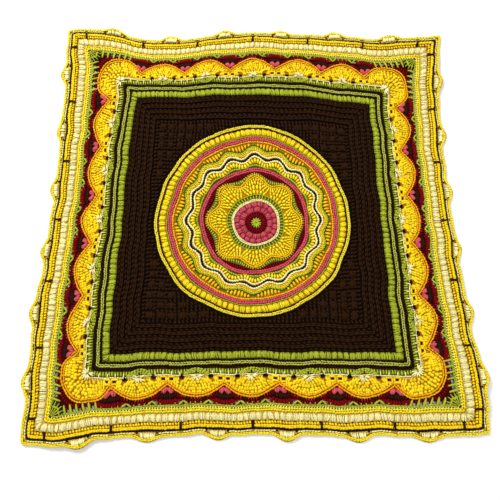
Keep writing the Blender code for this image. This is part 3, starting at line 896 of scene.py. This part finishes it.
for tier in CORNER_TIERS:
    for end in (-1, 1):
        shares = (np.arange(tier.posts) + 0.5) / tier.posts
        foot = tier.from_in + shares * (tier.inner - tier.from_in)
        head = tier.from_out + shares * (tier.outer - tier.from_out)
        shell_posts += spread([(end * along, tier.inner) for along in foot],
                              [(end * along, tier.outer) for along in head],
                              tier.crest, tier.wide, tier.thick, loose=0.8)
CORNER_SIDE_FEET = (348, 342, 336.5)
CORNER_SIDE_HEADS = (343, 336.5, 330.5)
for end in (-1, 1):
    shell_posts += spread([(end * along, 383.8) for along in CORNER_SIDE_FEET],
                          [(end * along, 390.4) for along in CORNER_SIDE_HEADS], 7.8, 3.6, 2.6)
MESH_POSTS = (-20, -15.5, -2.2, 2.2, 15.5, 20)
MESH_CHAINS = (385.4, 395.8)
MESH_REACH = 18
mesh_places = [valley + post for valley in VALLEYS for post in MESH_POSTS]
mesh_stitches = on_sides(mesh_places, (0, 383.6), (0, 397.4), 7, 2.4, 2.1, LONG, crossing=True)
for out in MESH_CHAINS:
    for start in (-MESH_REACH, 0.5):
        mesh_stitches += over_gaps(VALLEYS, (start, out), (start + MESH_REACH, out), 7.6, 2.6, 2.2, LONG)
# Its second colour is the painted shade between strands.
shell_yarn = yarn("shell yarn", (0.98, 0.75, 0.012), (0.44, 0.15, 0.001), mottle=0.6)
piece("shell_posts", shell_posts, shell_yarn)
piece("shell_mesh", mesh_stitches, shell_yarn)
foot_places = [shell + end * FOOT_GAP.along for shell in SHELLS for end in (-1, 1)]
mesh_middles = [valley + end * MESH_GAP.along for valley in VALLEYS for end in (-1, 1)]
# These brown strands around and across the open stitches are partly dark yarn behind them and partly
# painted shade that darkens the holes.
foot_loops = []
for out in (FOOT_GAP.out - 3, FOOT_GAP.out + 3):
    foot_loops += over_gaps(foot_places, (-4.8, out), (4.8, out), 7.6, 1.7, 1.8)
for beside in (-4.2, 4.2):
    foot_loops += over_gaps(foot_places, (beside, 382.4), (beside, 388.6), 7.6, 1.6, 1.8)
foot_loops += over_gaps(foot_places, (-5.2, FOOT_GAP.out), (5.2, FOOT_GAP.out), 3.6, 2.8, 1.5)
foot_loops += over_gaps(mesh_middles, (-6, MESH_GAP.out), (6, MESH_GAP.out), 3.6, 3.6, 1.5)
piece("foot_loops", foot_loops, brown_yarn)
# Its second colour is the painted shade between strands.
rim_yarn = yarn("orange rim yarn", (0.97, 0.47, 0.006), (0.34, 0.06, 0.001))
shell_rim = row_at(400)
piece("shell_rim", [lobes(shell_rim, 6.4, 9.4, 2.5, 2.3, (-0.6, -3.7), (0.6, -2.7)),
                    lobes(shell_rim, 6.4, 9.2, 2.5, 2.3, (-0.6, 1.7), (0.6, 2.7))], rim_yarn)

# The crimson ground of the shells: rows of crimson posts along the rim and along the lime
# row, a crimson fan in each valley under a dark half moon, and a pair of rose bobbles that
# lean together, with thin rose ticks over each shell.

crimson_rows = [lobes(row_at(404.6), 5.8, 6.2, 2.4, 1.9, (-0.1, 0.4), (0.2, 10.6)),
                lobes(row_at(440.5), 6, 6.2, 2.5, 1.9, (-0.1, -6), (0.1, 5.6))]
fan_shares = np.linspace(-1, 1, 9)
crimson_fans = spread(fanned(VALLEYS, fan_shares, 20, 436, 10),
                      fanned(VALLEYS, fan_shares, 31, 449, 7), 8.2, 3.7, 3, LONG)
fan_feet = [valley + end * FAN_GAP.along for valley in VALLEYS for end in (-1, 1)
            if abs(valley + end * FAN_GAP.along) < LAST_VALLEY]
crimson_rows += over_gaps(fan_feet, (-8.5, 437.4), (8.5, 437.4), 7.4, 2.3, 2, LONG)
for beside in (-7, 7):
    crimson_rows += over_gaps(fan_feet, (beside, 438), (beside, 448), 7, 2.2, 2)
piece("crimson_rows", crimson_rows, crimson_yarn)
piece("crimson_fans", crimson_fans, crimson_yarn)
moon_shares = np.linspace(-1, 1, 11)
half_moons = spread(fanned(VALLEYS, moon_shares, 16, 420, 4),
                    fanned(VALLEYS, moon_shares, 19.5, 436.5, 12.5), 8.4, 2.5, 2.1)
# A short brown strand in each valley, between the feet of the rose pair, paints the shade of the small
# hole there.
half_moons += on_sides(VALLEYS, (-5.5, 402), (5.5, 402), 7.6, 2.4, 1.9)
RIM_OUTSIDE = 404
RIM_OVAL = 18
OVAL_CLEAR = 5


def past_rim(quarter, along, past):
    """A place straight out past the outer side of the shell rim."""
    rim_x, rim_y = square_place(quarter, along, RIM_OUTSIDE)
    past_x, past_y = plain_place(quarter, 0, past)
    return rim_x + past_x, rim_y + past_y


rim_ovals = [shell + side for shell in SHELLS for side in (-RIM_OVAL, RIM_OVAL)]
for nudge in (-4.5, -1.5, 1.5, 4.5):
    half_moons += on_sides(rim_ovals, (nudge - 1, 2.6), (nudge + 1, 8.6), 7.8, 1.9, 1.8,
                           place=past_rim)
piece("dark_half_moons", half_moons, brown_yarn)
rose_pairs = []
for side in (-1, 1):
    for ply in np.linspace(-1, 1, 6):
        start = (side * (6 + 1.6 * ply), 405.6 + 1.6 * ply * ply)
        end = (side * (6.8 + 1.8 * ply), 421 - 3 * ply * ply)
        rose_pairs += on_sides(VALLEYS, start, end, 12.2 - 2.4 * ply * ply, 2.1, 2,
                               LONG, side * ply * 4, 1.6, 0.5)
tick_places = [shell + tick for shell in SHELLS for tick in np.arange(-33, 34, 6)
               if abs(abs(tick) - RIM_OVAL) > OVAL_CLEAR]
rose_pairs += on_sides(tick_places, (0, 1), (0, 6), 7.9, 0.9, 1.1, place=past_rim)
piece("rose_pairs", rose_pairs, rose_yarn)

# The lime row around the shells: a flat lime chain with two small pointed picots over each
# shell, and at the corners a ladder of long slanted stitches with a fan at the very corner.

lime_outer = braid(row_at(450), 6.2, 7, 2.2, 2.1, 2)
PICOT_FROM_SHELL = 28
picots = [shell + side * PICOT_FROM_SHELL for shell in SHELLS for side in (-1, 1)]
for side in (-1, 1):
    lime_outer += on_sides(picots, (side * 11, 448), (-side * 0.8, 434.5),
                           9.4, 2.3, 2.2, LONG, crossing=True)
ladder = LADDER_FIRST - LADDER_PITCH / 2 + LADDER_PITCH * np.arange(LADDER_STEPS + 1)
for end in (-1, 1):
    lime_outer += over_gaps(end * ladder, (-4 * end, 453), (4 * end, 431.5), 9, 2.8, 2.6, LONG)
CORNER_EYE = 452
CORNER_RAYS = np.radians([183, 200, 217, 233, 250, 267])
RAY_FROM = 5
RAY_TO = 33


def corner_fan(angles, crest, wide, thick):
    """Long stitches that spread from the small hole at each corner of the lime row."""
    starts, ends = [rayed([(CORNER_EYE, CORNER_EYE)], angles, reach, reach)
                    for reach in (RAY_FROM, RAY_TO)]
    return spread(starts, ends, crest, wide, thick, LONG, place=plain_place)


lime_outer += corner_fan(CORNER_RAYS, 9.6, 1.5, 1.6)
piece("lime_outer_row", lime_outer, lime_yarn)
# Dark brown strands that paint shade: dots at the small holes by the picots and at each corner hole, a
# band behind the ladder's openings, and strands between the corner rays.
row_shade_strands = on_sides(picots, (-2, 443), (2, 443), 8.6, 2.4, 1.8)
row_shade_strands += corner_fan((CORNER_RAYS[1:] + CORNER_RAYS[:-1]) / 2, 8, 2.6, 2)
for end in (-1, 1):
    row_shade_strands += on_sides(end * ladder[:-1], (-4.6, 439.6), (4.6, 441.2), 7.2, 2.4, 1.9, place=plain_place)
row_shade_strands += on_sides([CORNER_EYE], (-2, CORNER_EYE), (2, CORNER_EYE), 8.4, 2, 1.8,
                     place=plain_place)
piece("lime_row_shade_strands", row_shade_strands, brown_yarn)
piece("lime_tips", [lobes(row_at(443.6), 11.6, 7, 1.3, 1.3, (0, -2), (0, 2.4))], pale_lime_yarn)

# The yellow row: a broad ridge of two lines of stitches, with pale tips where it is worked
# into the lime row.

piece("yellow_row", braid(row_at(459), 6.3, 7.6, 3.5, 2.6, 2.5), yellow_yarn)
piece("yellow_row_tips", [lobes(row_at(453.6), 6.3, 7.8, 1.5, 1.4, (0, -2), (0, 2.6))], cream_yarn)

# The cream puffs: one plump puff stitch after another around the whole blanket, each a
# bundle of long loops, with small dark brown dots between their outer ends that paint the
# shade in the hollows there.

piece("cream_puffs", puffs(row_at(474.3, CORNER_TURN), 13.9, 9.2, -9.2, 9, 13.4), cream_yarn)
piece("puff_shade_dots", [lobes(row_at(483.4), 13.9, 6.8, 1.9, 1.8, (-0.13, -1.2), (0.13, 1.2),
                          phase=0.5)], brown_yarn)

# The golden ridge: two lines of orange yellow stitches, crossed by short brown bars, with a
# brown twisted chain line along its outer side.

BARS = (-458.3, -313.2, -156.6, 0, 156.6, 313.2, 458.3)
BAR_PLY_GAP = 3.2
# Its second colour is the painted shade between strands.
rich_yarn = yarn("rich yellow yarn", (1, 0.76, 0.012), (0.42, 0.13, 0.001))
golden_ridge = [lobes(row_at(487), 6.5, 8, 3.1, 2.4, (-0.2, -2.6), (0.3, 3))]
golden_ridge += braid(row_at(494), 6.3, 8.8, 2, 2.5, 2.4)
piece("golden_ridge", golden_ridge, rich_yarn)
chain_line = [lobes(row_at(500), 6.6, 6.8, 2.1, 1.9, (-0.42, -1.2), (0.42, 1))]
for side in (-1, 0, 1):
    chain_line += on_sides(BARS, (side * BAR_PLY_GAP, 482), (side * 4.4, 501.5),
                           9.8, 1.7, 1.7, LONG, -side * 2.6)
bump_ends = [end * bump + side * 23 for bump in EDGE_BUMPS for end in (-1, 1) for side in (-1, 1)]
chain_line += on_sides(bump_ends, (-3, 503), (3, 503), 7, 2.2, 1.8)
piece("brown_bars_and_chain", chain_line, brown_yarn)

# The edging: a row of yellow stitches that swings out over small groups of cream puffs, so
# that the outer edge is bumpy, with thin cream strips beside the bars.

BUMP_CLEAR = 27
BAR_CLEAR = 5
edge_cream = []
bump_middles = [end * bump for bump in EDGE_BUMPS for end in (-1, 1)]
for offset in (-13.6, -8.2, -2.8, 2.8, 8.2, 13.6):
    for ply in (-1, 1):
        edge_cream += on_sides(bump_middles, (offset + ply * 1.5, 502.4),
                               (offset * 0.92 + ply * 1.5, 508.2), 7.4, 1.8, 1.8, loose=0.7)
strip_places = [along for along in np.arange(-496, 497, 6.2)
                if min(abs(along - middle) for middle in bump_middles) > BUMP_CLEAR
                and min(abs(along - bar) for bar in BARS) > BAR_CLEAR]
edge_cream += on_sides(strip_places, (-3.3, 503.2), (3.3, 504.4), 6.8, 1.8, 1.7)
piece("edge_cream", edge_cream, cream_yarn)
piece("edge_yellow", braid(row_at(509.6), 6.6, 6.6, 2.2, 2.2, 1.9), yellow_yarn)

# The floor, the soft light from above and behind, and the camera at the photo's angle.

FLOOR_HALF = 6.0
FLOOR_DROP = 0.0003
bm = bmesh.new()
bmesh.ops.create_grid(bm, x_segments=1, y_segments=1, size=FLOOR_HALF)
floor_mesh = bpy.data.meshes.new("floor")
bm.to_mesh(floor_mesh)
bm.free()
floor = add_object("floor", floor_mesh)
floor.location.z = -FLOOR_DROP
floor_material, floor_shader, floor_tree = new_material("pale floor", 0.9, 0.0)
floor_noise = floor_tree.node("TexNoise", {}, {"Scale": 3.0, "Detail": 2.0})
feed(floor_shader, "Base Color", floor_noise.between((0.93, 0.93, 0.93), (0.96, 0.96, 0.955)))
floor_mesh.materials.append(floor_material)

world = bpy.data.worlds.new("studio")
bpy.context.scene.world = world
world.use_nodes = True
world.node_tree.nodes["Background"].inputs["Color"].default_value = (1.0, 1.0, 1.0, 1.0)
world.node_tree.nodes["Background"].inputs["Strength"].default_value = 0.68


def area_light(name, place, size, power):
    """A soft square light that faces the middle of the blanket."""
    light = bpy.data.lights.new(name, "AREA")
    light.size = size
    light.energy = power
    made = add_object(name, light)
    made.location = place
    x, y, z = place
    made.rotation_euler = (math.atan2(math.hypot(x, y), z), 0.0, math.atan2(-y, -x) - math.pi / 2)


area_light("key_light", (-1.3, 1.5, 1.9), 0.8, 54.0)
area_light("fill_light", (1.5, -0.6, 2.2), 1.6, 14.0)

PHOTO_SIDE = 500.0
FOCAL_PIXELS = 480.0
SENSOR = 36.0
CAMERA_X = -0.0072
CAMERA_Y = -0.3862
CAMERA_Z = 1.1516
CAMERA_DOWN = 75.39
camera_data = bpy.data.cameras.new("photo_camera")
camera_data.sensor_width = SENSOR
camera_data.lens = FOCAL_PIXELS / PHOTO_SIDE * SENSOR
camera = add_object("photo_camera", camera_data)
camera.location = (CAMERA_X - MIDDLE_X * MM, CAMERA_Y - MIDDLE_Y * MM, CAMERA_Z)
camera.rotation_euler = (math.radians(90.0 - CAMERA_DOWN), 0.0, 0.0)
bpy.context.scene.camera = camera
bpy.context.scene.view_settings.view_transform = "Standard"
